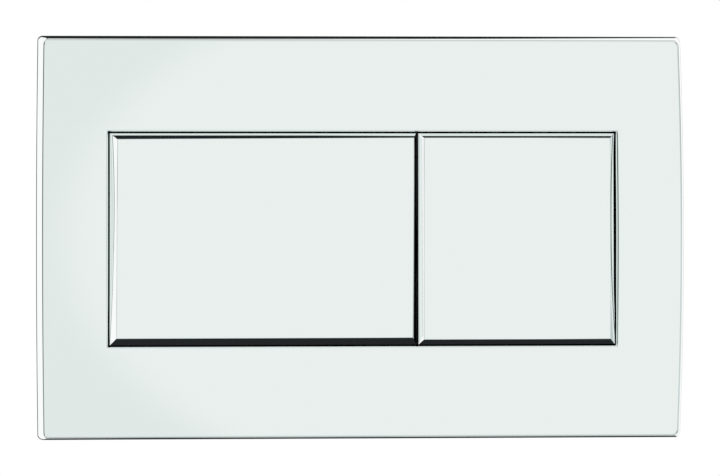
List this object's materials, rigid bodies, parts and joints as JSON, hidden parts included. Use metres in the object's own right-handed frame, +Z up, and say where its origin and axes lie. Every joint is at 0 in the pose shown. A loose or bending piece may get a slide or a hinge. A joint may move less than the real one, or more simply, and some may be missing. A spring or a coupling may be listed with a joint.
{
  "type": "flush plate",
  "caption": "Chrome-plated flush plate with a crowned cover, a large and a small hinged button, and a mounting frame with push rods for a concealed cistern.",
  "frame": {"origin": "on the wall plane, at the middle of the plate", "axes": "+X to the viewer's right, +Y into the wall, +Z up; the front faces -Y"},
  "size_m": [0.25, 0.0892, 0.1562],
  "materials": {
    "chrome_plated_abs": "polished",
    "black_abs": "matte",
    "white_acetal": "satin",
    "grey_abs": "matte",
    "stainless_steel": "brushed",
    "zinc_plated_steel": "satin",
    "black_rubber": "matte"
  },
  "bodies": {
    "housing": {"cover_plate": "chrome_plated_abs", "mounting_frame": "black_abs", "full_hinge_pin_left": "stainless_steel", "full_hinge_pin_right": "stainless_steel", "half_hinge_pin_left": "stainless_steel", "half_hinge_pin_right": "stainless_steel", "retaining_clip_upper_left": "stainless_steel", "retaining_clip_upper_right": "stainless_steel", "retaining_clip_lower_left": "stainless_steel", "retaining_clip_lower_right": "stainless_steel", "full_return_spring": "stainless_steel", "half_return_spring": "stainless_steel", "full_rod_bush": "white_acetal", "half_rod_bush": "white_acetal", "fixing_stud_left": "zinc_plated_steel", "fixing_stud_right": "zinc_plated_steel", "fixing_nut_left": "grey_abs", "fixing_nut_right": "grey_abs", "fixing_washer_left": "zinc_plated_steel", "fixing_washer_right": "zinc_plated_steel"},
    "full_button": {"full_flush_button": "chrome_plated_abs", "full_bumper_left": "black_rubber", "full_bumper_right": "black_rubber"},
    "full_rod": {"full_push_rod": "white_acetal", "full_rod_cap": "white_acetal", "full_rod_locknut": "white_acetal"},
    "half_button": {"half_flush_button": "chrome_plated_abs", "half_bumper_left": "black_rubber", "half_bumper_right": "black_rubber"},
    "half_rod": {"half_push_rod": "white_acetal", "half_rod_cap": "white_acetal", "half_rod_locknut": "white_acetal"}
  },
  "joints": [
    {"name": "full_button_hinge", "type": "hinge", "parent": "housing", "child": "full_button", "pos_m": [-0.03807, -0.0044, 0.04735], "axis": [1, 0, 0], "range_deg": [0, 5], "stiffness_Nm_per_rad": 4, "springref_deg": -4.58, "deforming": ["full_return_spring"]},
    {"name": "half_button_hinge", "type": "hinge", "parent": "housing", "child": "half_button", "pos_m": [0.05878, -0.0044, 0.04735], "axis": [1, 0, 0], "range_deg": [0, 5], "stiffness_Nm_per_rad": 4, "springref_deg": -4.58, "deforming": ["half_return_spring"]},
    {"name": "full_rod_slide", "type": "slide", "parent": "housing", "child": "full_rod", "axis": [0, 1, 0], "range_m": [0, 0.00448]},
    {"name": "half_rod_slide", "type": "slide", "parent": "housing", "child": "half_rod", "axis": [0, 1, 0], "range_m": [0, 0.00448]}
  ],
  "couplings": [
    {"joint": "full_rod_slide", "follows": "full_button_hinge", "m_per_rad": 0.05135},
    {"joint": "half_rod_slide", "follows": "half_button_hinge", "m_per_rad": 0.05135}
  ]
}
